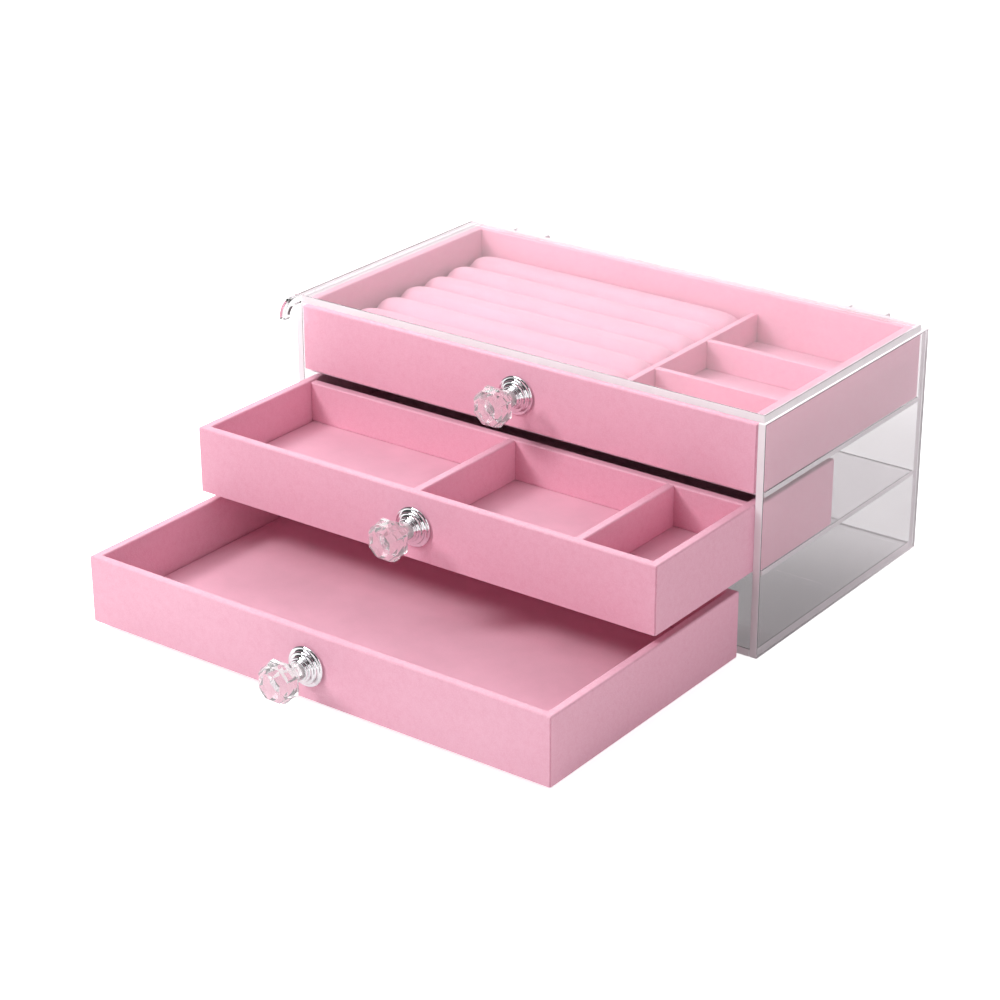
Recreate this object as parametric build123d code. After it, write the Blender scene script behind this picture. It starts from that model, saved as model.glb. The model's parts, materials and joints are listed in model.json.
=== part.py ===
from build123d import *
import math
import os

# Jewellery chest: a clear acrylic case with three bays, a hinged clear lid and three
# wrapped-board drawers on crystal knobs.
# Millimetres, +X to the right, +Y to the back, +Z up. The origin is the centre of the
# case's underside. The top drawer is shut, the middle one about half out and the
# bottom one fully out.

# ---- case -----------------------------------------------------------------------
CASE_WIDTH = 236.0
CASE_DEPTH = 131.0
CASE_HEIGHT = 100.8        # side and back panels, without the lid
SHEET = 3.5                # outer panels, base and lid
SHELF = 2.5                # the two shelves
SHELF_SETBACK = 4.0        # front edge of a shelf behind the case's front
BAY_PITCH = 33.7           # floor of one bay to the floor of the next

# ---- lid and its hinge ------------------------------------------------------------
LID_GAP = 0.3              # air under the lid, where its underside rests on the panels
LID_SIDE_INSET = 0.5       # lid edge to the case's outer face
LID_REAR_CUT = 6.0         # lid edge to the case's rear face
AXIS_FROM_REAR = 3.0       # hinge axis in front of the case's rear face
BARREL_RADIUS = 1.75       # flush with both faces of the lid
PIN_RADIUS = 0.75
PIN_PLAY = 0.1             # radial play of the knuckles on the pin
BOSS_PLAY = 0.05           # radial play of the pin in its boss
HINGE_X = 88.0             # centre of each hinge, left and right
BOSS_LENGTH = 10.0
KNUCKLE_LENGTH = 7.0
KNUCKLE_GAP = 0.3
TAB_WIDTH = 3.0            # clear of the top drawer, which passes beside it
TAB_STRAIGHT = 3.8         # flat run of the lift tab before it curls
TAB_OUTER_RADIUS = 7.6
TAB_TIP_DROP = 0.8         # straight end of the curl

# ---- drawers ----------------------------------------------------------------------
WALL = 4.0
DRAWER_HEIGHT = 28.9
DRAWER_LENGTH = 127.0
SIDE_PLAY = 0.4            # drawer side to case side
FLOOR_PLAY = 0.2           # drawer underside to the bay's floor
EDGE_ROUND = 0.8           # rounded long edges of a wrapped wall
CORNER_CREASE = 0.4        # crease where the wrap folds round a corner
BOARD_RAISE = 3.5          # underside of the base board above the drawer's underside
BOARD = 2.5                # base board
BOARD_PLAY = 0.1
LINER = 0.8                # floor liner
LINER_INSET = 0.4
DRAWERS = {                # name: (bay counted from below, how far the drawer stands out)
    "top_drawer": (2, 0.0),
    "middle_drawer": (1, 68.5),
    "bottom_drawer": (0, 135.5),
}

# ---- fittings inside the drawers ----------------------------------------------------
INSERT_HEIGHT = 12.5       # ring rolls and dividers of the top drawer
INSERT_WALL = 3.0
RING_SIDE_X = 38.0         # long divider of the top drawer
SMALL_CELL_COUNT = 3       # cells to the right of that divider
PAD_PLAY = 0.3
TRAY_BOARD = 3.6           # floor of the middle drawer's tray, on the base board
PARTITION_DROP = 0.6       # middle drawer's dividers below its rim
PARTITION_X = (-2.0, 76.0)  # middle drawer's two dividers
CROSS_WALL_BACK = 69.5     # middle drawer's cross wall, centre behind the front face

# ---- knobs --------------------------------------------------------------------------
ROSETTE_STEPS = (          # radius and height of each step, from the base
    (8.5, 1.5),
    (6.8, 1.5),
    (5.2, 1.4),
    (4.4, 1.2),            # cup that the crystal's neck stands on
)
CRYSTAL_RINGS = (          # radius, distance from the crystal's back, turned half a facet
    (4.1, 0.0, True),
    (3.9, 2.9, True),
    (6.6, 5.7, False),
    (9.5, 9.6, True),
    (9.5, 11.6, True),
    (8.1, 14.4, False),
    (5.7, 16.4, True),
)
FACETS = 8
SCREW_RADIUS = 1.9
SCREW_PLAY = 0.2           # radial play of the screw in the front wall
SCREW_HEAD = (3.7, 2.2)    # radius and height of the countersunk head
SCREW_REACH = 4.6          # how far the screw enters the rosette

# ---- derived ------------------------------------------------------------------------
HALF_W = CASE_WIDTH / 2
FRONT_Y = -CASE_DEPTH / 2
REAR_Y = CASE_DEPTH / 2
INNER_W = HALF_W - SHEET
LID_BOTTOM = CASE_HEIGHT + LID_GAP
LID_TOP = LID_BOTTOM + SHEET
LID_REAR = REAR_Y - LID_REAR_CUT
AXIS_Y = REAR_Y - AXIS_FROM_REAR
AXIS_Z = LID_TOP - BARREL_RADIUS
DRAWER_HALF = INNER_W - SIDE_PLAY
BOARD_TOP = BOARD_RAISE + BOARD
LINER_TOP = BOARD_TOP + LINER
ROSETTE_HEIGHT = sum(height for _, height in ROSETTE_STEPS)


def block(x, y, z):
    """A box between two limits along each axis."""
    size = [b - a for a, b in (x, y, z)]
    centre = [(a + b) / 2 for a, b in (x, y, z)]
    return Pos(*centre) * Box(*size)


def prism(points, low, high):
    """An outline in the XY plane, raised from low to high."""
    outline = make_face(Polyline(*points, close=True))
    return Pos(0, 0, low) * extrude(outline, amount=high - low)


def rod_x(radius, x0, x1, y, z):
    """A round rod along X."""
    return Pos((x0 + x1) / 2, y, z) * Rot(0, 90, 0) * Cylinder(radius, x1 - x0)


def rod_y(radius, y0, y1, x, z):
    """A round rod along Y."""
    return Pos(x, (y0 + y1) / 2, z) * Rot(90, 0, 0) * Cylinder(radius, y1 - y0)


def rounded_rim(wall, along):
    """Round the two long top edges of a wall."""
    return fillet(wall.edges().filter_by(along).group_by(Axis.Z)[-1], EDGE_ROUND)


def case_panels():
    """The glued sheets of the case."""
    inside = (-INNER_W, INNER_W)
    depth = (FRONT_Y, REAR_Y)
    parts = {
        "case_left_panel": block((-HALF_W, -INNER_W), depth, (0, CASE_HEIGHT)),
        "case_right_panel": block((INNER_W, HALF_W), depth, (0, CASE_HEIGHT)),
        "case_back_panel": block(inside, (REAR_Y - SHEET, REAR_Y), (0, CASE_HEIGHT)),
        "case_base_panel": block(inside, (FRONT_Y, REAR_Y - SHEET), (0, SHEET)),
    }
    for bay, name in ((1, "case_lower_shelf"), (2, "case_upper_shelf")):
        top = SHEET + bay * BAY_PITCH
        parts[name] = block(inside, (FRONT_Y + SHELF_SETBACK, REAR_Y - SHEET), (top - SHELF, top))
    return parts


def hinge(side, x):
    """A boss on the back panel, two knuckles on the lid and the pin through them."""
    half = BOSS_LENGTH / 2
    end = half + KNUCKLE_GAP + KNUCKLE_LENGTH
    foot = block((x - half, x + half), (REAR_Y - SHEET, REAR_Y), (CASE_HEIGHT, AXIS_Z))
    boss = foot + rod_x(BARREL_RADIUS, x - half, x + half, AXIS_Y, AXIS_Z)
    boss -= rod_x(PIN_RADIUS + BOSS_PLAY, x - half, x + half, AXIS_Y, AXIS_Z)
    knuckles = []
    for x0, x1 in ((x - end, x - half - KNUCKLE_GAP), (x + half + KNUCKLE_GAP, x + end)):
        barrel = rod_x(BARREL_RADIUS, x0, x1, AXIS_Y, AXIS_Z)
        web = block((x0, x1), (LID_REAR, AXIS_Y), (LID_BOTTOM, LID_TOP))
        bore = rod_x(PIN_RADIUS + PIN_PLAY, x0, x1, AXIS_Y, AXIS_Z)
        knuckles.append((barrel + web - bore).solid())
    return {
        f"hinge_boss_{side}": boss,
        f"hinge_pin_{side}": rod_x(PIN_RADIUS, x - end, x + end, AXIS_Y, AXIS_Z),
        f"lid_knuckles_{side}": Compound(children=knuckles),
    }


def lid():
    """The lid sheet and the curled lift tab at its front left corner."""
    edge = HALF_W - LID_SIDE_INSET
    sheet = block((-edge, edge), (FRONT_Y, LID_REAR), (LID_BOTTOM, LID_TOP))
    inner = TAB_OUTER_RADIUS - SHEET
    bend_y = FRONT_Y - TAB_STRAIGHT
    bend_z = LID_TOP - TAB_OUTER_RADIUS
    turn = math.sqrt(0.5)

    def at(radius, y_part, z_part):
        return (bend_y - radius * y_part, bend_z + radius * z_part)

    tip = bend_z - TAB_TIP_DROP
    outer_side, inner_side = bend_y - TAB_OUTER_RADIUS, bend_y - inner
    outline = (
        Line((FRONT_Y, LID_BOTTOM), (FRONT_Y, LID_TOP))
        + Line((FRONT_Y, LID_TOP), (bend_y, LID_TOP))
        + ThreePointArc((bend_y, LID_TOP), at(TAB_OUTER_RADIUS, turn, turn), (outer_side, bend_z))
        + Line((outer_side, bend_z), (outer_side, tip))
        + Line((outer_side, tip), (inner_side, tip))
        + Line((inner_side, tip), (inner_side, bend_z))
        + ThreePointArc((inner_side, bend_z), at(inner, turn, turn), (bend_y, LID_BOTTOM))
        + Line((bend_y, LID_BOTTOM), (FRONT_Y, LID_BOTTOM))
    )
    profile = Plane.YZ.offset(-edge) * make_face(outline)
    tab = extrude(profile, amount=TAB_WIDTH)
    return {"lid_panel": sheet, "lid_lift_tab": tab}


def countersunk(front, floor, play, reach):
    """A countersunk screw seated in the front wall, or its hole when play is given."""
    z = floor + DRAWER_HEIGHT / 2
    radius, height = SCREW_HEAD
    inside = front + WALL
    head = Cone(SCREW_RADIUS + play, radius + play, height)
    shank = rod_y(SCREW_RADIUS + play, front - reach, inside - height, 0, z)
    return shank + Pos(0, inside - height / 2, z) * Rot(-90, 0, 0) * head


def drawer_walls(front, floor):
    """Four mitred walls; front is the front face's Y, floor the drawer's underside."""
    a, t, s = DRAWER_HALF, WALL, CORNER_CREASE
    rear = front + DRAWER_LENGTH
    top = floor + DRAWER_HEIGHT

    def along_x(face, inward):
        points = [(-a + s, face), (a - s, face), (a - s, face + inward * s),
                  (a - t, face + inward * t), (t - a, face + inward * t),
                  (s - a, face + inward * s)]
        return rounded_rim(prism(points, floor, top), Axis.X)

    def along_y(side):
        points = [(side * a, front + s), (side * a, rear - s),
                  (side * (a - s), rear - s), (side * (a - t), rear - t),
                  (side * (a - t), front + t), (side * (a - s), front + s)]
        return rounded_rim(prism(points, floor, top), Axis.Y)

    return {
        "front_wall": along_x(front, 1) - countersunk(front, floor, SCREW_PLAY, 0),
        "back_wall": along_x(rear, -1),
        "left_wall": along_y(-1),
        "right_wall": along_y(1),
    }


def drawer_floor(front, floor, tray):
    """The base board between the walls, a tray's board if there is one, and the liner."""
    def sheet(inset, low, high):
        reach = DRAWER_HALF - WALL - inset
        y = (front + WALL + inset, front + DRAWER_LENGTH - WALL - inset)
        return block((-reach, reach), y, (floor + low, floor + high))
    parts = {"base_board": sheet(BOARD_PLAY, BOARD_RAISE, BOARD_TOP)}
    if tray:
        parts["tray_board"] = sheet(BOARD_PLAY, BOARD_TOP, BOARD_TOP + tray)
    parts["floor_liner"] = sheet(LINER_INSET, BOARD_TOP + tray, LINER_TOP + tray)
    return parts


def crystal(front, z):
    """A faceted knob head: rings of corners joined by flat facets."""
    step = 2 * math.pi / FACETS
    rings = []
    for radius, reach, turned in CRYSTAL_RINGS:
        start = step / 2 if turned else 0
        y = front - ROSETTE_HEIGHT - reach
        rings.append([(radius * math.cos(start + k * step), y,
                       z + radius * math.sin(start + k * step)) for k in range(FACETS)])

    def facet(*corners):
        return Face(Wire.make_polygon([Vector(*c) for c in corners], close=True))

    faces = [facet(*rings[0]), facet(*rings[-1])]
    for (low, high), (first, second) in zip(zip(rings, rings[1:]),
                                            zip(CRYSTAL_RINGS, CRYSTAL_RINGS[1:])):
        for k in range(FACETS):
            n = (k + 1) % FACETS
            if first[2] == second[2]:
                faces.append(facet(low[k], low[n], high[n], high[k]))
            elif first[2]:
                faces.append(facet(low[k], high[n], low[n]))
                faces.append(facet(low[k], high[k], high[n]))
            else:
                faces.append(facet(low[k], high[k], low[n]))
                faces.append(facet(low[n], high[k], high[n]))
    return Solid(Shell(faces))


def knob(front, floor):
    """Stepped rosette, crystal and the screw from inside the drawer."""
    z = floor + DRAWER_HEIGHT / 2
    reach = 0.0
    steps = []
    for radius, height in ROSETTE_STEPS:
        steps.append(rod_y(radius, front - reach - height, front - reach, 0, z))
        reach += height
    rosette = steps[0].fuse(*steps[1:]) - rod_y(SCREW_RADIUS, front - SCREW_REACH, front, 0, z)
    return {
        "knob_rosette": rosette,
        "knob_crystal": crystal(front, z),
        "knob_screw": countersunk(front, floor, 0, SCREW_REACH),
    }


def top_drawer_insert(front, floor):
    """Ring-roll pad on the left, three small cells on the right."""
    low = floor + LINER_TOP
    high = low + INSERT_HEIGHT
    y0, y1 = front + WALL, front + DRAWER_LENGTH - WALL
    half = INSERT_WALL / 2
    inner = DRAWER_HALF - WALL
    parts = {
        "long_divider": block((RING_SIDE_X - half, RING_SIDE_X + half), (y0, y1), (low, high)),
        "ring_roll_pad": block(
            (-inner + PAD_PLAY, RING_SIDE_X - half - PAD_PLAY),
            (y0 + PAD_PLAY, y1 - PAD_PLAY), (low, high)),
    }
    cell = (y1 - y0) / SMALL_CELL_COUNT
    for index, name in enumerate(("front_cross_divider", "rear_cross_divider"), start=1):
        y = y0 + index * cell
        parts[name] = block((RING_SIDE_X + half, inner), (y - half, y + half), (low, high))
    return parts


def middle_drawer_partitions(front, floor):
    """A cross wall with two dividers in front of it, standing on the tray's liner."""
    low = floor + LINER_TOP + TRAY_BOARD
    high = floor + DRAWER_HEIGHT - PARTITION_DROP
    half = WALL / 2
    inner = DRAWER_HALF - WALL
    cross = front + CROSS_WALL_BACK
    parts = {"cross_wall": rounded_rim(
        block((-inner, inner), (cross - half, cross + half), (low, high)), Axis.X)}
    for name, x in zip(("left_divider", "right_divider"), PARTITION_X):
        divider = block((x - half, x + half), (front + WALL, cross - half), (low, high))
        parts[name] = rounded_rim(divider, Axis.Y)
    return parts


def drawer(name):
    """Every piece of one drawer, at the place where the drawer stands."""
    bay, out = DRAWERS[name]
    front = FRONT_Y - out
    floor = SHEET + bay * BAY_PITCH + FLOOR_PLAY
    tray = TRAY_BOARD if name == "middle_drawer" else 0
    pieces = {**drawer_walls(front, floor), **drawer_floor(front, floor, tray)}
    pieces.update(knob(front, floor))
    if name == "top_drawer":
        pieces.update(top_drawer_insert(front, floor))
    if name == "middle_drawer":
        pieces.update(middle_drawer_partitions(front, floor))
    return {f"{name}_{piece}": shape for piece, shape in pieces.items()}


def build():
    nodes = {**case_panels(), **lid()}
    for side, x in (("left", -HINGE_X), ("right", HINGE_X)):
        nodes.update(hinge(side, x))
    for name in DRAWERS:
        nodes.update(drawer(name))
    return nodes


os.makedirs("parts", exist_ok=True)
for node, shape in build().items():
    export_step(shape, f"parts/{node}.step")
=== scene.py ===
"""Finish for a jewellery chest: clear case and lid, three wrapped drawers, crystal knobs.

Laid out as an add-on and run as a script. Metres, +Z up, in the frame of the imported
model, whose fronts face -Y.
"""
import json
import math

import bmesh
import bpy
from bpy.props import FloatProperty, FloatVectorProperty, IntProperty, PointerProperty
from mathutils import Matrix, Vector, noise

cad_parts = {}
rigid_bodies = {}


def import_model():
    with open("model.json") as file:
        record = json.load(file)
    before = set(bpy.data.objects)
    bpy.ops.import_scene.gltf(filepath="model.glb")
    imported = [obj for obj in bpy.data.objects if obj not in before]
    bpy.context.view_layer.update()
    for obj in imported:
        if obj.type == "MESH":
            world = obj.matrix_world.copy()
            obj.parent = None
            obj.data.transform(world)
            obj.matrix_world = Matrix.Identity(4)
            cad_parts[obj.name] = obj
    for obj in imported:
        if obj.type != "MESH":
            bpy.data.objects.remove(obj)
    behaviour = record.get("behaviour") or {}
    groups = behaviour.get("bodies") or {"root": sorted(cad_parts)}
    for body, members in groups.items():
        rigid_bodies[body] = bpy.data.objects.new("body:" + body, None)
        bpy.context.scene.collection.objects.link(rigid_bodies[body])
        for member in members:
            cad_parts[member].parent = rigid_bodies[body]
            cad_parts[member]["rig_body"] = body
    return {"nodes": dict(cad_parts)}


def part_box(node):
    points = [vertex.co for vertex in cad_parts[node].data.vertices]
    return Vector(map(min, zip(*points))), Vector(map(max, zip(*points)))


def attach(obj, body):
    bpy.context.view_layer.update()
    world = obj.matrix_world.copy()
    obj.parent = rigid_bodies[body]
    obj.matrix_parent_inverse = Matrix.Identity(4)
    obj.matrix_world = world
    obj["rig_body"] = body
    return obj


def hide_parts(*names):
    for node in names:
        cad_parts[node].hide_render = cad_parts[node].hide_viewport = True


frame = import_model()

bl_info = {
    "name": "Jewellery Chest",
    "version": (1, 0, 0),
    "blender": (4, 5, 0),
    "location": "View3D > Sidebar > Chest",
    "description": "Clear case, wrapped drawers, velvet ring rolls and crystal knobs",
    "category": "Object",
}

MM = 0.001

DRAWERS = ("top_drawer", "middle_drawer", "bottom_drawer")
WALLS = ("front_wall", "back_wall", "left_wall", "right_wall")
SHEETS = ("case_left_panel", "case_right_panel", "case_back_panel", "case_base_panel",
          "case_lower_shelf", "case_upper_shelf")


# ---- settings a user would change ---------------------------------------------------

class ChestSizes(bpy.types.PropertyGroup):
    """Sizes of the finish."""
    sheet_bevel: FloatProperty(
        name="Sheet bevel", description="Polished bevel on the edges of a clear sheet",
        default=0.4 * MM, unit="LENGTH", precision=5)
    glue_line: FloatProperty(
        name="Glue line", description="Thickness of the clear glue between two sheets",
        default=0.04 * MM, unit="LENGTH", precision=5)
    wrap_round: FloatProperty(
        name="Wrap rounding", description="Rounding of the leatherette over a board's edges",
        default=0.35 * MM, unit="LENGTH", precision=5)
    liner_round: FloatProperty(
        name="Liner rounding", description="Rounding of the floor liner along its border",
        default=1.0 * MM, unit="LENGTH", precision=5)
    roll_count: IntProperty(
        name="Ring rolls", description="Soft rolls in the top drawer", default=7, min=1)
    roll_squeeze: FloatProperty(
        name="Roll squeeze", description="How far each roll starts inside its own space",
        default=1.1 * MM, unit="LENGTH", precision=5)
    roll_air: FloatProperty(
        name="Roll pressure", description="Air pressure that swells the cover of a roll",
        default=1100.0, min=0.0)


class ChestColours(bpy.types.PropertyGroup):
    """Colours of the finish."""
    leather: FloatVectorProperty(
        name="Leatherette", description="Pink of the wrapped boards",
        default=(0.85, 0.46, 0.575), subtype="COLOR")
    # Painted shade: the darker pink laid in the low pores of the grain, also used for random
    # broad patches.
    leather_pore_shade_and_patches: FloatVectorProperty(
        name="Leatherette, deep", description="Pink in the pores of the grain",
        default=(0.77, 0.34, 0.46), subtype="COLOR")
    velvet: FloatVectorProperty(
        name="Velvet", description="Pink of the pile on liners and ring rolls",
        default=(0.85, 0.46, 0.575), subtype="COLOR")
    acrylic: FloatVectorProperty(
        name="Acrylic", description="Tint of the clear sheets",
        default=(0.885, 0.86, 0.875), subtype="COLOR")
    edge: FloatVectorProperty(
        name="Acrylic edge", description="Milky tint of the sawn edges",
        default=(0.90, 0.83, 0.86), subtype="COLOR")
    crystal: FloatVectorProperty(
        name="Crystal", description="Tint of the knob crystals",
        default=(0.97, 0.95, 0.96), subtype="COLOR")
    chrome: FloatVectorProperty(
        name="Chrome", description="Colour of the plated rosettes",
        default=(0.82, 0.82, 0.84), subtype="COLOR")


class ChestStudio(bpy.types.PropertyGroup):
    """Camera and light; a softbox is set by how brightly it lights a white card there."""
    azimuth: FloatProperty(
        name="Azimuth", description="Camera round the chest, from the front to the right",
        default=math.radians(36.62), subtype="ANGLE")
    elevation: FloatProperty(
        name="Elevation", description="Camera above the horizon",
        default=math.radians(24.12), subtype="ANGLE")
    roll: FloatProperty(
        name="Roll", description="Camera turned about its own axis",
        default=math.radians(0.2), subtype="ANGLE")
    distance: FloatProperty(
        name="Distance", description="Camera to the middle of the case",
        default=1.14518, unit="LENGTH")
    aside: FloatVectorProperty(
        name="Aside", description="How far the view is moved to its right and up", size=2,
        default=(-45.95 * MM, -32.22 * MM), unit="LENGTH")
    aim_height: FloatProperty(
        name="Aim height", description="Height that the distance is measured to",
        default=50 * MM, unit="LENGTH")
    lens: FloatProperty(
        name="Lens", description="Focal length in millimetres", default=95.39)
    key: FloatProperty(
        name="Key light", description="Softbox at the front left", default=0.45)
    front: FloatProperty(
        name="Front light", description="Softbox above the front", default=0.34)
    back: FloatProperty(
        name="Back light", description="Wide softbox that the lid mirrors", default=0.17)
    back_high: FloatProperty(
        name="High back light", description="Softbox above the back", default=0.74)
    side: FloatProperty(
        name="Side light", description="Wide softbox at the right", default=0.33)
    top: FloatProperty(
        name="Top light", description="Wide softbox overhead", default=0.12)
    surround: FloatProperty(
        name="Surround", description="Brightness of the room round the chest", default=0.12)
    floor_glow: FloatProperty(
        name="Floor glow", description="How brightly the floor itself shines", default=0.13)
    floor_white: FloatProperty(
        name="Floor white", description="How far the floor is washed out", default=0.8)


# ---- node trees -----------------------------------------------------------------------

class Finish:
    """A new material's node tree, with short calls to add nodes and join them."""

    def __init__(self, name):
        self.material = bpy.data.materials.new(name)
        self.material.use_nodes = True
        self.tree = self.material.node_tree
        self.tree.nodes.clear()
        self.place = self.node("ShaderNodeTexCoord").outputs["Object"]

    def node(self, kind, settings=None, **inputs):
        """Add a node; an input given as a socket is joined, anything else is set."""
        made = self.tree.nodes.new(kind)
        for key, value in (settings or {}).items():
            setattr(made, key, value)
        for key, value in inputs.items():
            socket = made.inputs[int(key[1:]) if key[0] == "_" else key.replace("_", " ")]
            if isinstance(value, bpy.types.NodeSocket):
                self.tree.links.new(value, socket)
            else:
                socket.default_value = value
        return made

    def noise(self, scale, detail=2.0, roughness=0.5, where=None):
        """Even noise with a given number of lumps per metre."""
        return self.node("ShaderNodeTexNoise", Vector=where or self.place, Scale=scale,
                         Detail=detail, Roughness=roughness).outputs["Fac"]

    def cells(self, scale, feature="F1", where=None):
        """Distance field of scattered cells."""
        return self.node("ShaderNodeTexVoronoi", {"feature": feature},
                         Vector=where or self.place, Scale=scale).outputs["Distance"]

    def span(self, value, low, high, to_low, to_high):
        """Map one range of a value to another."""
        return self.node("ShaderNodeMapRange", None, _0=value, _1=low, _2=high, _3=to_low,
                         _4=to_high).outputs[0]

    def blend(self, amount, first, second):
        """Mix two colours, each a socket or three numbers."""
        mixed = self.node("ShaderNodeMix", {"data_type": "RGBA"}, _0=amount,
                          _6=colour(first), _7=colour(second))
        return mixed.outputs[2]

    def calc(self, operation, first, second=0.0):
        """One sum on two values."""
        return self.node("ShaderNodeMath", {"operation": operation}, _0=first,
                         _1=second).outputs[0]

    def bump(self, height, distance, strength=1.0, normal=None):
        """Raise the surface by a height field, distance in metres."""
        inputs = {"Height": height, "Distance": distance, "Strength": strength}
        if normal is not None:
            inputs["Normal"] = normal
        return self.node("ShaderNodeBump", None, **inputs).outputs["Normal"]

    def finish(self, shader):
        """Join the last shader to the output and give the material back."""
        self.node("ShaderNodeOutputMaterial", Surface=shader.outputs[0])
        return self.material


def colour(value):
    """A socket as it is, or three numbers as an opaque colour."""
    return value if isinstance(value, bpy.types.NodeSocket) else (*value, 1.0)


def passing_lamps(made, shader, share):
    """Let the light of lamps through a clear shader, dimmed to a share."""
    shadow = made.node("ShaderNodeLightPath").outputs["Is Shadow Ray"]
    clear = made.node("ShaderNodeBsdfTransparent", Color=(share, share, share, 1.0))
    return made.node("ShaderNodeMixShader", _0=shadow, _1=shader.outputs[0],
                     _2=clear.outputs[0])


def leatherette(colours):
    """Fine pebbled grain over a barely uneven board; the pores get painted shade, a darker
    pink where the grain is low, and broad patches vary the tone at random.
    """
    made = Finish("pink_leatherette")
    pebbles = made.cells(1500.0)
    creases = made.noise(420.0, 6.0, 0.6)
    waves = made.noise(28.0, 2.0)
    patches = made.noise(9.0, 3.0)
    # Painted shade in the pores: the colour darkens where the grain's height is low; the
    # patches add random tone.
    depth = made.calc("MULTIPLY", made.span(pebbles, 0.1, 0.6, 0.0, 1.0),
                      made.span(creases, 0.3, 0.7, 0.3, 1.0))
    tone = made.calc("ADD", made.span(depth, 0.0, 1.0, 0.0, 0.6),
                     made.span(patches, 0.3, 0.7, -0.12, 0.22))
    tint = made.blend(tone, colours.leather, colours.leather_pore_shade_and_patches)
    board = made.bump(waves, 0.25 * MM, 0.6)
    grain = made.bump(made.calc("SUBTRACT", creases, depth), 0.07 * MM, 0.7, board)
    rough = made.span(creases, 0.2, 0.8, 0.5, 0.68)
    return made.finish(made.node(
        "ShaderNodeBsdfPrincipled", Base_Color=tint, Roughness=rough, Normal=grain,
        Sheen_Weight=0.08, Sheen_Roughness=0.45, Sheen_Tint=(1.0, 0.85, 0.9, 1.0)))


def velvet(colours):
    """Short pile: soft sheen, fine fuzz and faint brushed patches."""
    made = Finish("pink_velvet")
    fuzz = made.noise(2600.0, 2.0, 0.7)
    brushed = made.noise(60.0, 4.0, 0.6)
    tone = made.calc("ADD", made.span(fuzz, 0.3, 0.7, 0.0, 0.25),
                     made.span(brushed, 0.35, 0.65, 0.0, 0.3))
    deep = [c * 0.8 for c in colours.velvet]
    tint = made.blend(tone, colours.velvet, deep)
    pile = made.bump(made.calc("ADD", fuzz, brushed), 0.08 * MM, 0.5)
    return made.finish(made.node(
        "ShaderNodeBsdfPrincipled", Base_Color=tint, Normal=pile,
        Roughness=made.span(brushed, 0.3, 0.7, 0.82, 0.95),
        Sheen_Weight=0.25, Sheen_Roughness=0.4, Sheen_Tint=(1.0, 0.8, 0.87, 1.0)))


def acrylic(colours):
    """Clear polished sheet with a faint haze of fine rubs."""
    made = Finish("clear_acrylic")
    rubs = made.noise(90.0, 5.0, 0.7)
    haze = made.span(rubs, 0.45, 0.75, 0.0, 0.035)
    sheet = made.node(
        "ShaderNodeBsdfPrincipled", Base_Color=colour(colours.acrylic), Roughness=haze,
        IOR=1.49, Transmission_Weight=1.0)
    return made.finish(passing_lamps(made, sheet, 0.92))


def acrylic_edge(colours):
    """Sawn and flame-polished edge: milky, with long fine marks."""
    made = Finish("acrylic_edge")
    marks = made.noise(70.0, 3.0, 0.6)
    tint = made.blend(made.span(marks, 0.3, 0.7, 0.0, 1.0), colours.edge,
                      [c * 0.95 for c in colours.edge])
    edge = made.node(
        "ShaderNodeBsdfPrincipled", Base_Color=tint, IOR=1.49,
        Roughness=made.span(marks, 0.3, 0.7, 0.28, 0.36), Transmission_Weight=0.03)
    return made.finish(passing_lamps(made, edge, 0.8))


def crystal(colours):
    """Cut crystal with hairline polish marks."""
    made = Finish("crystal")
    polish = made.noise(500.0, 4.0, 0.6)
    glass = made.node(
        "ShaderNodeBsdfPrincipled", Base_Color=colour(colours.crystal), IOR=1.52,
        Roughness=made.span(polish, 0.4, 0.8, 0.0, 0.03), Transmission_Weight=0.86)
    return made.finish(passing_lamps(made, glass, 0.3))


def metal(name, tint, low, high, scale):
    """Bare or plated metal whose polish varies."""
    made = Finish(name)
    marks = made.noise(scale, 4.0, 0.65)
    return made.finish(made.node(
        "ShaderNodeBsdfPrincipled", Base_Color=made.blend(
            made.span(marks, 0.3, 0.7, 0.0, 1.0), tint, [c * 0.9 for c in tint]),
        Roughness=made.span(marks, 0.3, 0.7, low, high), Metallic=1.0,
        Normal=made.bump(marks, 0.01 * MM, 0.2)))


FINISHES = {}


def finishes(context):
    """Every material, made once from the colours set in the panel."""
    if not FINISHES:
        colours = context.scene.chest_colours
        FINISHES.update(
            leather=leatherette(colours), velvet=velvet(colours),
            acrylic=acrylic(colours), edge=acrylic_edge(colours), crystal=crystal(colours),
            chrome=metal("chrome", colours.chrome, 0.04, 0.12, 900.0),
            steel=metal("screw_steel", (0.6, 0.6, 0.62), 0.2, 0.35, 1800.0))
    return FINISHES


# ---- meshes ---------------------------------------------------------------------------

def body_of(node):
    """The body that a CAD node belongs to."""
    return frame["nodes"][node]["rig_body"]


def add_piece(name, build, node, slot, *materials):
    """Make an object from a bmesh, riding with a CAD node's body and standing for it."""
    mesh = bpy.data.meshes.new(name)
    build.to_mesh(mesh)
    build.free()
    for material in materials:
        mesh.materials.append(material)
    piece = bpy.data.objects.new(name, mesh)
    bpy.context.scene.collection.objects.link(piece)
    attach(piece, body_of(node))
    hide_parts(node)
    return piece


def paint(node, material):
    """Give a CAD node a material."""
    data = frame["nodes"][node].data
    data.materials.clear()
    data.materials.append(material)


def box_mesh(low, high):
    """A bmesh box between two corners."""
    build = bmesh.new()
    size = [b - a for a, b in zip(low, high)]
    middle = [(a + b) / 2 for a, b in zip(low, high)]
    turn = Matrix.Translation(middle) @ Matrix.Diagonal((*size, 1.0))
    bmesh.ops.create_cube(build, size=1.0, matrix=turn)
    return build


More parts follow.
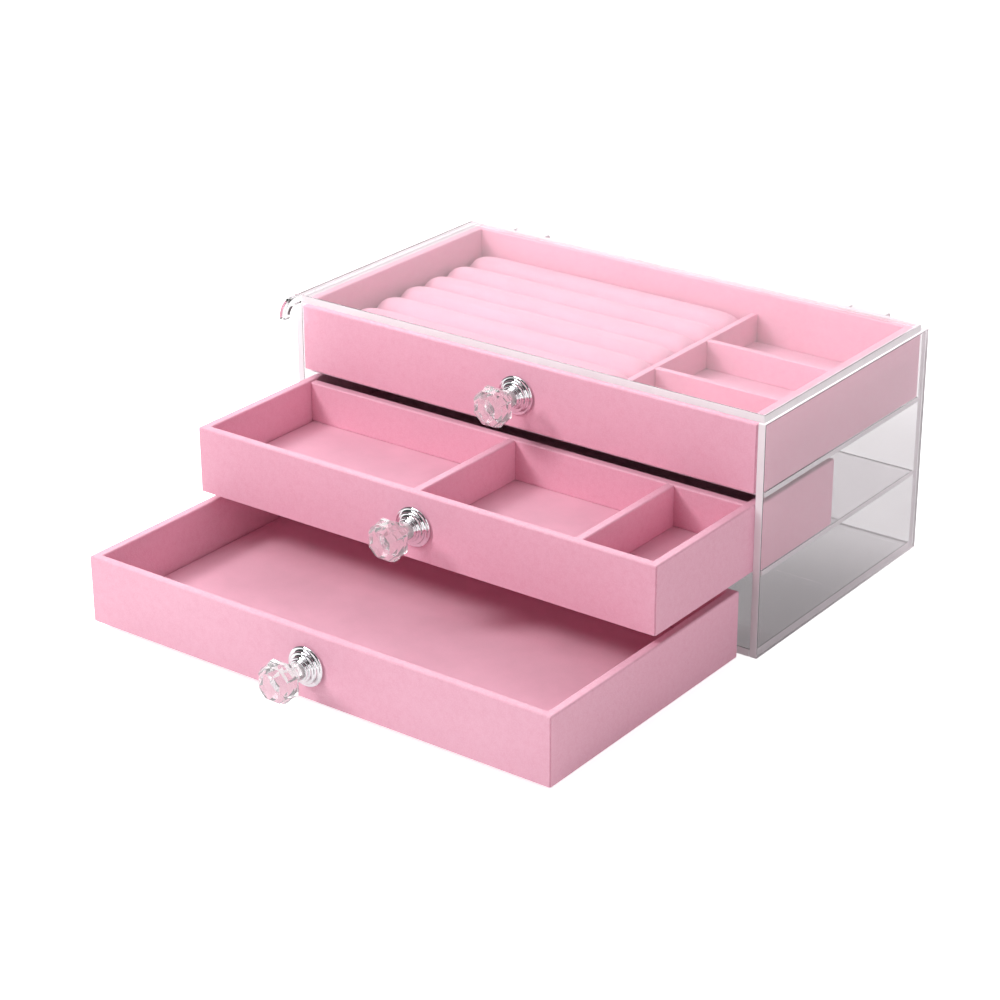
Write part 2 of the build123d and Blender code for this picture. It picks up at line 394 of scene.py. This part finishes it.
def bevel_edges(piece, width, segments, sharp=30.0):
    """A rounded bevel on the sharp edges, with even shading on the flats."""
    bevel = piece.modifiers.new("Bevel", "BEVEL")
    bevel.width, bevel.segments = width, segments
    bevel.limit_method, bevel.angle_limit = "ANGLE", math.radians(sharp)
    smooth(piece)
    even = piece.modifiers.new("Even shading", "WEIGHTED_NORMAL")
    even.weight = 80


def smooth(piece):
    """Shade every face smooth."""
    piece.data.polygons.foreach_set("use_smooth", [True] * len(piece.data.polygons))


def rounded_copy(node, name, slot, material, width, segments=2):
    """A CAD node's shape with softened edges, in its place."""
    build = bmesh.new()
    build.from_mesh(frame["nodes"][node].data)
    bmesh.ops.remove_doubles(build, verts=build.verts, dist=0.001 * MM)
    bmesh.ops.dissolve_limit(build, angle_limit=math.radians(0.5), verts=build.verts,
                             edges=build.edges)
    piece = add_piece(name, build, node, slot, material)
    bevel_edges(piece, width, segments)
    return piece


def turned(profile, centre, segments):
    """Turn a closed profile of radius and reach round an axis that points to the front."""
    build = bmesh.new()
    rings = []
    for radius, reach in profile:
        count = segments if radius > 0 else 1
        rings.append([build.verts.new((
            centre.x + radius * math.cos(math.tau * k / segments), centre.y - reach,
            centre.z + radius * math.sin(math.tau * k / segments))) for k in range(count)])
    for first, second in zip(rings, rings[1:]):
        for k in range(segments):
            n = (k + 1) % segments
            corners = [first[k % len(first)], first[n % len(first)],
                       second[n % len(second)], second[k % len(second)]]
            build.faces.new(dict.fromkeys(corners))
    bmesh.ops.recalc_face_normals(build, faces=build.faces)
    return build


# ---- clear case -------------------------------------------------------------------------

def sheet(context, node):
    """One clear sheet with bevelled edges; its narrow faces are milky."""
    sizes = context.scene.chest_sizes
    kinds = finishes(context)
    low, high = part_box(node)
    gap = Vector((1, 1, 1)) * sizes.glue_line / 2
    build = box_mesh(low + gap, high - gap)
    thin = min(range(3), key=lambda axis: high[axis] - low[axis])
    for face in build.faces:
        face.material_index = 0 if abs(face.normal[thin]) > 0.5 else 1
    piece = add_piece(f"{node}_polished", build, node, "clear_acrylic", kinds["acrylic"],
                      kinds["edge"])
    bevel_edges(piece, sizes.sheet_bevel, 2)
    return piece


class CHEST_OT_case(bpy.types.Operator):
    """Build the clear sheets of the case"""
    bl_idname = "chest.case"
    bl_label = "Clear case"

    def execute(self, context):
        for node in SHEETS:
            sheet(context, node)
        return {"FINISHED"}


HINGE_ROUND = 0.2 * MM      # softened edges of the hinges and the lift tab


class CHEST_OT_lid(bpy.types.Operator):
    """Build the clear lid, its lift tab and its hinges"""
    bl_idname = "chest.lid"
    bl_label = "Lid and hinges"

    def execute(self, context):
        kinds = finishes(context)
        sheet(context, "lid_panel")
        rounded_copy("lid_lift_tab", "lid_lift_tab_polished", "clear_acrylic",
                     kinds["acrylic"], HINGE_ROUND)
        for side in ("left", "right"):
            for node in (f"hinge_boss_{side}", f"lid_knuckles_{side}"):
                rounded_copy(node, f"{node}_polished", "clear_acrylic", kinds["edge"],
                             HINGE_ROUND)
            paint(f"hinge_pin_{side}", kinds["edge"])
        return {"FINISHED"}


# ---- drawers ----------------------------------------------------------------------------

LINER_SAG = 0.12 * MM       # deepest dip in a floor liner


def spaced(low, high, border, count):
    """Stations from low to high, close together along a rounded border."""
    near = [border * share for share in (0.0, 0.08, 0.28, 0.6, 1.0)]
    middle = [border + (high - low - 2 * border) * k / count for k in range(1, count)]
    return ([low + n for n in near] + [low + m for m in middle]
            + [high - n for n in reversed(near)])


def liner_mesh(low, high, border, sag):
    """A thin closed sheet with a rounded border and a faintly uneven top."""
    build = bmesh.new()
    across = spaced(low.x, high.x, border, 44)
    along = spaced(low.y, high.y, border, 26)
    thick = high.z - low.z

    def rise(x, y):
        edge = min(x - low.x, high.x - x, y - low.y, high.y - y) / border
        round_off = math.sqrt(max(0.0, 1 - (1 - min(edge, 1.0)) ** 2))
        uneven = 0.5 + 0.5 * noise.noise(Vector((x, y, low.z)) * 45.0)
        return low.z + thick * (0.25 + 0.75 * round_off) - sag * uneven * round_off

    top = [[build.verts.new((x, y, rise(x, y))) for x in across] for y in along]
    base = [[build.verts.new((x, y, low.z)) for x in across] for y in along]
    for grid in (top, base):
        for first, second in zip(grid, grid[1:]):
            for k in range(len(across) - 1):
                build.faces.new((first[k], first[k + 1], second[k + 1], second[k]))
    rim = [(0, k) for k in range(len(across))]
    rim += [(j, len(across) - 1) for j in range(1, len(along))]
    rim += [(len(along) - 1, k) for k in range(len(across) - 2, -1, -1)]
    rim += [(j, 0) for j in range(len(along) - 2, 0, -1)]
    for (j, k), (m, n) in zip(rim, rim[1:] + rim[:1]):
        build.faces.new((top[j][k], top[m][n], base[m][n], base[j][k]))
    bmesh.ops.recalc_face_normals(build, faces=build.faces)
    return build


class CHEST_OT_drawers(bpy.types.Operator):
    """Wrap the drawer boards and line their floors"""
    bl_idname = "chest.drawers"
    bl_label = "Drawers"

    def execute(self, context):
        kinds = finishes(context)
        sizes = context.scene.chest_sizes
        boards = [f"{drawer}_{wall}" for drawer in DRAWERS for wall in WALLS]
        boards += [f"middle_drawer_{part}"
                   for part in ("cross_wall", "left_divider", "right_divider")]
        boards += [f"top_drawer_{part}"
                   for part in ("long_divider", "front_cross_divider", "rear_cross_divider")]
        for node in boards:
            rounded_copy(node, f"{node}_wrapped", "pink_leatherette", kinds["leather"],
                         sizes.wrap_round, 3)
        paint("middle_drawer_tray_board", kinds["leather"])
        for drawer in DRAWERS:
            paint(f"{drawer}_base_board", kinds["leather"])
            node = f"{drawer}_floor_liner"
            build = liner_mesh(*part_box(node), sizes.liner_round, LINER_SAG)
            piece = add_piece(f"{node}_soft", build, node, "pink_velvet", kinds["velvet"])
            smooth(piece)
        return {"FINISHED"}


# ---- ring rolls -------------------------------------------------------------------------

ROLL_END = 7 * MM           # length of a roll's rounded end
ROLL_CLEAR = 0.05 * MM      # clear space on each long side of a roll
ROLL_NET = 2.2 * MM         # spacing of the threads in the cloth solve
ROLL_SWELL = 2.5 * MM       # furthest that a cover may swell
CLOTH_SCALE = 10.0          # the solver is steadier on a cover ten times as large
CLOTH_FRAMES = 16


def roll_cover(low, high, end_round):
    """The cover of one roll before it is filled: flat below, arched above, closed ends."""
    build = bmesh.new()
    half, height = (high.y - low.y) / 2, high.z - low.z
    middle = (low.y + high.y) / 2
    arch = [(-math.cos(math.pi * k / 16), math.sin(math.pi * k / 16)) for k in range(17)]
    outline = [(-0.93, 0.0)] + [(y, 0.45 + 0.55 * z) for y, z in arch] + [(0.93, 0.0)]
    rings = []
    for x in spaced(low.x, high.x, end_round, 30):
        edge = min(1.0, min(x - low.x, high.x - x) / end_round)
        full = 0.55 + 0.45 * math.sqrt(max(0.0, 1 - (1 - edge) ** 2))
        rings.append([build.verts.new((x, middle + half * y * full, low.z + height * z * full))
                      for y, z in outline])
    count = len(outline)
    for first, second in zip(rings, rings[1:]):
        for k in range(count):
            n = (k + 1) % count
            build.faces.new((first[k], second[k], second[n], first[n]))
    build.faces.new(rings[0])
    build.faces.new(reversed(rings[-1]))
    bmesh.ops.recalc_face_normals(build, faces=build.faces)
    return build


def keep_evaluated(piece):
    """Keep a piece's mesh as its modifiers leave it, and drop the modifiers."""
    graph = bpy.context.evaluated_depsgraph_get()
    made = bpy.data.meshes.new_from_object(piece.evaluated_get(graph), depsgraph=graph)
    piece.modifiers.clear()
    old, piece.data = piece.data, made
    bpy.data.meshes.remove(old)


def inflate(piece, voxel, pressure, cap):
    """Swell a closed cover with air over a glued base, and keep the swollen mesh."""
    scene = bpy.context.scene
    piece.data.transform(Matrix.Scale(CLOTH_SCALE, 4))
    remesh = piece.modifiers.new("Even net", "REMESH")
    remesh.mode, remesh.voxel_size = "VOXEL", voxel * CLOTH_SCALE
    keep_evaluated(piece)
    start = [vertex.co.copy() for vertex in piece.data.vertices]
    base = min(point.z for point in start) + 0.4 * voxel * CLOTH_SCALE
    glued = piece.vertex_groups.new(name="glued")
    glued.add([k for k, point in enumerate(start) if point.z < base], 1.0, "REPLACE")
    cloth = piece.modifiers.new("Cover", "CLOTH")
    cloth.settings.use_pressure = True
    cloth.settings.uniform_pressure_force = pressure
    cloth.settings.effector_weights.gravity = 0.0
    cloth.settings.vertex_group_mass = "glued"
    cloth.settings.quality = 6
    cloth.point_cache.frame_start = 1
    cloth.point_cache.frame_end = CLOTH_FRAMES
    for step in range(1, CLOTH_FRAMES + 1):
        scene.frame_set(step)
    keep_evaluated(piece)
    scene.frame_set(1)
    for vertex, point in zip(piece.data.vertices, start):
        move = vertex.co - point
        if move.length > cap * CLOTH_SCALE:
            vertex.co = point + move.normalized() * cap * CLOTH_SCALE
    piece.data.transform(Matrix.Scale(1 / CLOTH_SCALE, 4))
    piece.vertex_groups.clear()


def keep_inside(piece, low, high):
    """Press a soft piece flat where it would leave its own space."""
    for vertex in piece.data.vertices:
        vertex.co = [min(max(c, a), b) for c, a, b in zip(vertex.co, low, high)]


class CHEST_OT_ring_rolls(bpy.types.Operator):
    """Build the soft ring rolls of the top drawer"""
    bl_idname = "chest.ring_rolls"
    bl_label = "Ring rolls"

    def execute(self, context):
        sizes = context.scene.chest_sizes
        kinds = finishes(context)
        node = "top_drawer_ring_roll_pad"
        low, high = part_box(node)
        pitch = (high.y - low.y) / sizes.roll_count
        squeeze = sizes.roll_squeeze
        for index in range(sizes.roll_count):
            own_low = Vector((low.x, low.y + index * pitch + ROLL_CLEAR, low.z))
            own_high = Vector((high.x, low.y + (index + 1) * pitch - ROLL_CLEAR, high.z))
            build = roll_cover(own_low + Vector((squeeze, squeeze, 0)),
                               own_high - Vector((squeeze, squeeze, squeeze)), ROLL_END)
            piece = add_piece(f"ring_roll_{index + 1}", build, node, "pink_velvet",
                              kinds["velvet"])
            inflate(piece, ROLL_NET, sizes.roll_air, ROLL_SWELL)
            keep_inside(piece, own_low, own_high)
            finer = piece.modifiers.new("Finer", "SUBSURF")
            finer.levels = finer.render_levels = 1
            smooth(piece)
        return {"FINISHED"}


# ---- knobs --------------------------------------------------------------------------------

STEP_RADII = (1.0, 0.8, 0.61, 0.52)       # rings of the rosette, as shares of its radius
STEP_HEIGHTS = (0.27, 0.27, 0.25, 0.21)   # the same rings, as shares of its height
SCREW_BORE = 1.9 * MM
PLATING_GAP = 0.02 * MM                   # between the rosette and the crystal
RECESS_REACH = 2.0 * MM
RECESS_DEPTH = 1.2 * MM
LOBES = 8
# Each ring of the crystal: its reach and the radius of its lobes as shares of the whole
# crystal's, and the radius at the notches between the lobes.
CUTS = (
    (0.0, 0.43, 0.41),
    (0.16, 0.385, 0.365),
    (0.31, 0.55, 0.50),
    (0.46, 0.86, 0.77),
    (0.58, 1.0, 0.90),
    (0.69, 1.0, 0.90),
    (0.86, 0.86, 0.80),
    (1.0, 0.62, 0.57),
)


def rosette_profile(radius, height):
    """Rounded rings, each smaller than the one behind it, over a blind screw hole."""
    bore_end = height * 0.82
    profile = [(0.0, bore_end), (SCREW_BORE, bore_end), (SCREW_BORE, 0.0)]
    reach = 0.0
    for share, tall in zip(STEP_RADII, STEP_HEIGHTS):
        half = height * tall / 2
        for k in range(9):
            turn = math.pi * (k / 8 - 0.5)
            profile.append((radius * share - half + half * math.cos(turn),
                            reach + half + half * math.sin(turn)))
        reach += 2 * half
    profile.append((0.0, reach))
    return profile


def cut_crystal(low, high):
    """Lobed crystal: rings of corners and notches joined by flat facets."""
    build = bmesh.new()
    centre = (low + high) / 2
    radius = (high.z - low.z) / 2 / math.cos(math.pi / (2 * LOBES))
    count = 2 * LOBES
    rings = []
    for reach, lobe, notch in CUTS:
        ring = []
        for k in range(count):
            turn = math.tau * (k + 1) / count
            r = radius * (notch if k % 2 else lobe)
            ring.append(build.verts.new((centre.x + r * math.cos(turn),
                                         high.y + (low.y - high.y) * reach,
                                         centre.z + r * math.sin(turn))))
        rings.append(ring)
    for first, second in zip(rings, rings[1:]):
        for k in range(count):
            n = (k + 1) % count
            if k % 2:
                build.faces.new((first[k], first[n], second[n]))
                build.faces.new((first[k], second[n], second[k]))
            else:
                build.faces.new((first[k], first[n], second[k]))
                build.faces.new((first[n], second[n], second[k]))
    build.faces.new(rings[0])
    build.faces.new(rings[-1])
    bmesh.ops.recalc_face_normals(build, faces=build.faces)
    return build


def screw_profile(head, length, shank):
    """A countersunk head with a slightly domed face, and its shank with a few threads."""
    profile = [(0.0, 0.0), (head * 0.8, 0.02 * length), (head, 0.06 * length),
               (shank, 0.27 * length)]
    threads = 9
    start = 0.3 * length
    pitch = (length - start) / threads
    for k in range(threads):
        profile += [(shank, start + k * pitch), (shank * 0.84, start + (k + 0.5) * pitch)]
    profile += [(shank * 0.84, length), (0.0, length)]
    return profile


def cross_recess(piece, centre, reach, depth):
    """Cut a cross recess into a screw's head, whose face points to the back."""
    cutter_build = bmesh.new()
    for size in ((2 * reach, 0.32 * reach), (0.32 * reach, 2 * reach)):
        turn = Matrix.Translation(centre) @ Matrix.Diagonal((size[0], depth * 2, size[1], 1.0))
        bmesh.ops.create_cube(cutter_build, size=1.0, matrix=turn)
    mesh = bpy.data.meshes.new("cutter")
    cutter_build.to_mesh(mesh)
    cutter_build.free()
    cutter = bpy.data.objects.new("cutter", mesh)
    bpy.context.scene.collection.objects.link(cutter)
    cut = piece.modifiers.new("Recess", "BOOLEAN")
    cut.operation, cut.object, cut.solver, cut.use_self = "DIFFERENCE", cutter, "EXACT", True
    keep_evaluated(piece)
    bpy.data.objects.remove(cutter)


class CHEST_OT_knobs(bpy.types.Operator):
    """Turn the rosettes, cut the crystals and make the screws of the knobs"""
    bl_idname = "chest.knobs"
    bl_label = "Knobs"

    def execute(self, context):
        kinds = finishes(context)
        for drawer in DRAWERS:
            node = f"{drawer}_knob_rosette"
            low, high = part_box(node)
            back = Vector(((low.x + high.x) / 2, high.y, (low.z + high.z) / 2))
            profile = rosette_profile((high.z - low.z) / 2, high.y - low.y - PLATING_GAP)
            piece = add_piece(f"{node}_turned", turned(profile, back, 64), node, "chrome",
                              kinds["chrome"])
            smooth(piece)
            node = f"{drawer}_knob_crystal"
            add_piece(f"{node}_cut", cut_crystal(*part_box(node)), node, "crystal",
                      kinds["crystal"])
            node = f"{drawer}_knob_screw"
            low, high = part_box(node)
            face = Vector(((low.x + high.x) / 2, high.y, (low.z + high.z) / 2))
            profile = screw_profile((high.z - low.z) / 2, high.y - low.y, SCREW_BORE)
            piece = add_piece(f"{node}_driven", turned(profile, face, 40), node, "screw_steel",
                              kinds["steel"])
            cross_recess(piece, face, RECESS_REACH, RECESS_DEPTH)
        return {"FINISHED"}


# ---- stage --------------------------------------------------------------------------------

LIGHT_AIM = Vector((0, -60 * MM, 50 * MM))
FLOOR_HALF = 3.0            # metres from the middle of the floor to its sides
FLOOR_DROP = 0.2 * MM       # the floor lies this much under the case


def add_camera(studio):
    """The camera, placed by its angles round the middle of the case."""
    azimuth, elevation = studio.azimuth, studio.elevation
    back = Vector((math.cos(elevation) * math.sin(azimuth),
                   -math.cos(elevation) * math.cos(azimuth), math.sin(elevation)))
    right = Vector((0, 0, 1)).cross(back).normalized()
    turned = Matrix((right, back.cross(right), back)).transposed()
    turned = turned @ Matrix.Rotation(-studio.roll, 3, "Z")
    aim = Vector((0, 0, studio.aim_height))
    centre = aim + turned @ Vector((*studio.aside, studio.distance))
    data = bpy.data.cameras.new("camera")
    data.lens, data.sensor_width = studio.lens, 36.0
    data.clip_start, data.clip_end = 0.01, 50.0
    camera = bpy.data.objects.new("camera", data)
    camera.matrix_world = Matrix.Translation(centre) @ turned.to_4x4()
    bpy.context.scene.collection.objects.link(camera)
    bpy.context.scene.camera = camera


def add_softbox(name, direction, distance, sides, strength):
    """A lamp that the camera doesn't see; strength is what a white card at the aim shows."""
    data = bpy.data.lights.new(name, "AREA")
    data.shape = "RECTANGLE"
    data.size, data.size_y = sides
    data.energy = strength * (math.pi * distance) ** 2
    lamp = bpy.data.objects.new(name, data)
    direction = Vector(direction).normalized()
    lamp.location = LIGHT_AIM + direction * distance
    lamp.rotation_euler = direction.to_track_quat("Z", "Y").to_euler()
    lamp.visible_camera = False
    bpy.context.scene.collection.objects.link(lamp)


def add_surround(strength):
    """White to the camera, a dimmer room to everything else."""
    world = bpy.data.worlds.new("surround")
    bpy.context.scene.world = world
    world.use_nodes = True
    tree = world.node_tree
    tree.nodes.clear()
    seen = tree.nodes.new("ShaderNodeBackground")
    seen.inputs["Strength"].default_value = 1.0
    seen.inputs["Color"].default_value = (1, 1, 1, 1)
    room = tree.nodes.new("ShaderNodeBackground")
    room.inputs["Strength"].default_value = strength
    path = tree.nodes.new("ShaderNodeLightPath")
    mix = tree.nodes.new("ShaderNodeMixShader")
    out = tree.nodes.new("ShaderNodeOutputWorld")
    tree.links.new(path.outputs["Is Camera Ray"], mix.inputs[0])
    tree.links.new(room.outputs[0], mix.inputs[1])
    tree.links.new(seen.outputs[0], mix.inputs[2])
    tree.links.new(mix.outputs[0], out.inputs["Surface"])


def add_floor(glow, white):
    """A wide pale floor that shines a little, washed out to white where it is seen bare."""
    build = bmesh.new()
    bmesh.ops.create_grid(build, x_segments=1, y_segments=1, size=FLOOR_HALF)
    mesh = bpy.data.meshes.new("floor")
    build.to_mesh(mesh)
    build.free()
    floor = bpy.data.objects.new("floor", mesh)
    floor.location.z = -FLOOR_DROP
    bpy.context.scene.collection.objects.link(floor)
    made = Finish("pale_floor")
    seen = made.node("ShaderNodeLightPath").outputs["Is Camera Ray"]
    lit = made.node("ShaderNodeEmission", Color=(1, 1, 1, 1),
                    Strength=made.span(seen, 0.0, 1.0, glow, white))
    matt = made.node(
        "ShaderNodeBsdfDiffuse",
        Color=made.blend(made.noise(3.0), (0.86, 0.86, 0.86), (0.89, 0.89, 0.89)))
    mesh.materials.append(made.finish(made.node(
        "ShaderNodeAddShader", _0=lit.outputs[0], _1=matt.outputs[0])))


class CHEST_OT_stage(bpy.types.Operator):
    """Set up the floor, the soft studio light and the camera"""
    bl_idname = "chest.stage"
    bl_label = "Stage"

    def execute(self, context):
        studio = context.scene.chest_studio
        context.scene.view_settings.view_transform = "Standard"
        add_camera(studio)
        add_surround(studio.surround)
        add_floor(studio.floor_glow, studio.floor_white)
        add_softbox("key_light", (-0.47, -0.64, 0.60), 1.1, (0.22, 0.22), studio.key)
        add_softbox("front_light", (-0.30, -0.55, 0.78), 1.2, (0.6, 0.6), studio.front)
        add_softbox("back_light", (-0.545, 0.733, 0.407), 1.6, (2.0, 1.1), studio.back)
        add_softbox("high_back_light", (-0.40, 0.55, 0.75), 1.4, (1.0, 1.0), studio.back_high)
        add_softbox("side_light", (0.90, -0.20, 0.25), 1.3, (1.2, 1.0), studio.side)
        add_softbox("top_light", (0.0, 0.0, 1.0), 1.3, (1.0, 1.0), studio.top)
        return {"FINISHED"}


# ---- panel and registration -----------------------------------------------------------------

STEPS = (CHEST_OT_stage, CHEST_OT_case, CHEST_OT_lid, CHEST_OT_drawers,
         CHEST_OT_ring_rolls, CHEST_OT_knobs)


class CHEST_PT_panel(bpy.types.Panel):
    """Settings and steps of the jewellery chest"""
    bl_idname = "CHEST_PT_panel"
    bl_label = "Jewellery Chest"
    bl_space_type = "VIEW_3D"
    bl_region_type = "UI"
    bl_category = "Chest"

    def draw(self, context):
        scene = context.scene
        for group in (scene.chest_sizes, scene.chest_colours, scene.chest_studio):
            column = self.layout.column(align=True)
            for key in group.__annotations__:
                column.prop(group, key)
        for step in STEPS:
            self.layout.operator(step.bl_idname)


GROUPS = {"chest_sizes": ChestSizes, "chest_colours": ChestColours,
          "chest_studio": ChestStudio}


def register():
    for name, group in GROUPS.items():
        bpy.utils.register_class(group)
        setattr(bpy.types.Scene, name, PointerProperty(type=group))
    for cls in (*STEPS, CHEST_PT_panel):
        bpy.utils.register_class(cls)


def unregister():
    for cls in reversed((*STEPS, CHEST_PT_panel)):
        bpy.utils.unregister_class(cls)
    for name, group in reversed(GROUPS.items()):
        delattr(bpy.types.Scene, name)
        bpy.utils.unregister_class(group)


def main():
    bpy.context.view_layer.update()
    register()
    for step in STEPS:
        group, name = step.bl_idname.split(".")
        getattr(getattr(bpy.ops, group), name)()


if __name__ == "__main__":
    main()
